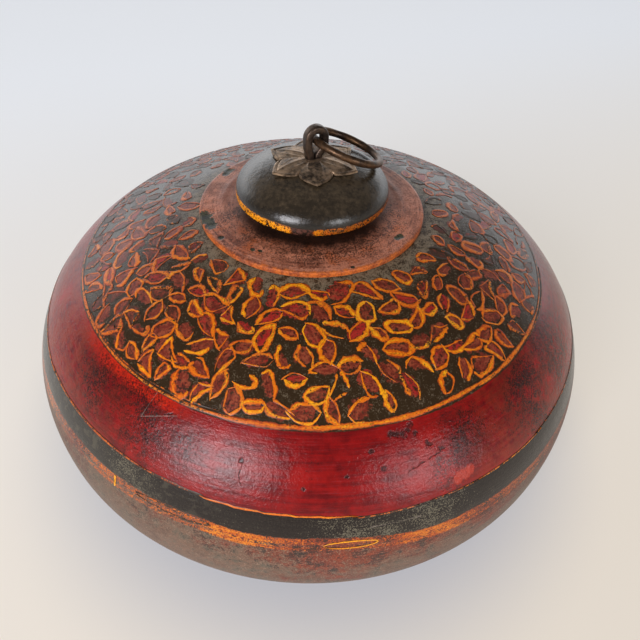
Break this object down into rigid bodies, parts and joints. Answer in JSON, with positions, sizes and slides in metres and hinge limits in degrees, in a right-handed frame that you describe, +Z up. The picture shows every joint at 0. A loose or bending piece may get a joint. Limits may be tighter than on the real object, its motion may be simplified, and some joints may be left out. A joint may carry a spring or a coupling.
{
  "type": "round lidded box",
  "caption": "Low round turned-wood storage box with a small lift-off lid, domed knob and iron pull ring.",
  "frame": {"origin": "centre of the flat base", "axes": "+Z up through the lid's opening; -Y is the side seen in front, the pull ring lies towards +X"},
  "size_m": [0.24, 0.24, 0.1493],
  "materials": {
    "belly_paint": "worn brown-red lacquer rubbed to grey wood",
    "shoulder_paint": "satin crimson and black lacquer over wood",
    "lid_red": "worn red lacquer over wood",
    "knob_black": "satin black lacquer over wood",
    "rosette_iron": "dark beaten iron sheet",
    "eye_iron": "dark forged iron",
    "washer_iron": "dark iron plate",
    "ring_iron": "rubbed forged iron with a brown sheen"
  },
  "bodies": {
    "pot": {"lower_bowl": "belly_paint", "upper_shell": "shoulder_paint"},
    "lid": {"lid_flange": "lid_red", "lid_knob": "knob_black", "rosette": "rosette_iron", "eye_pin": "eye_iron", "clinch_washer": "washer_iron"},
    "ring": {"pull_ring": "ring_iron"}
  },
  "joints": [
    {"name": "lid_lift", "type": "slide", "parent": "pot", "child": "lid", "axis": [0, 0, 1], "range_m": [0, 0.06]},
    {"name": "ring_swing", "type": "hinge", "parent": "lid", "child": "ring", "pos_m": [-0.0004, 0.00021, 0.1437], "axis": [0.454, -0.891, 0], "range_deg": [0, 136]}
  ]
}
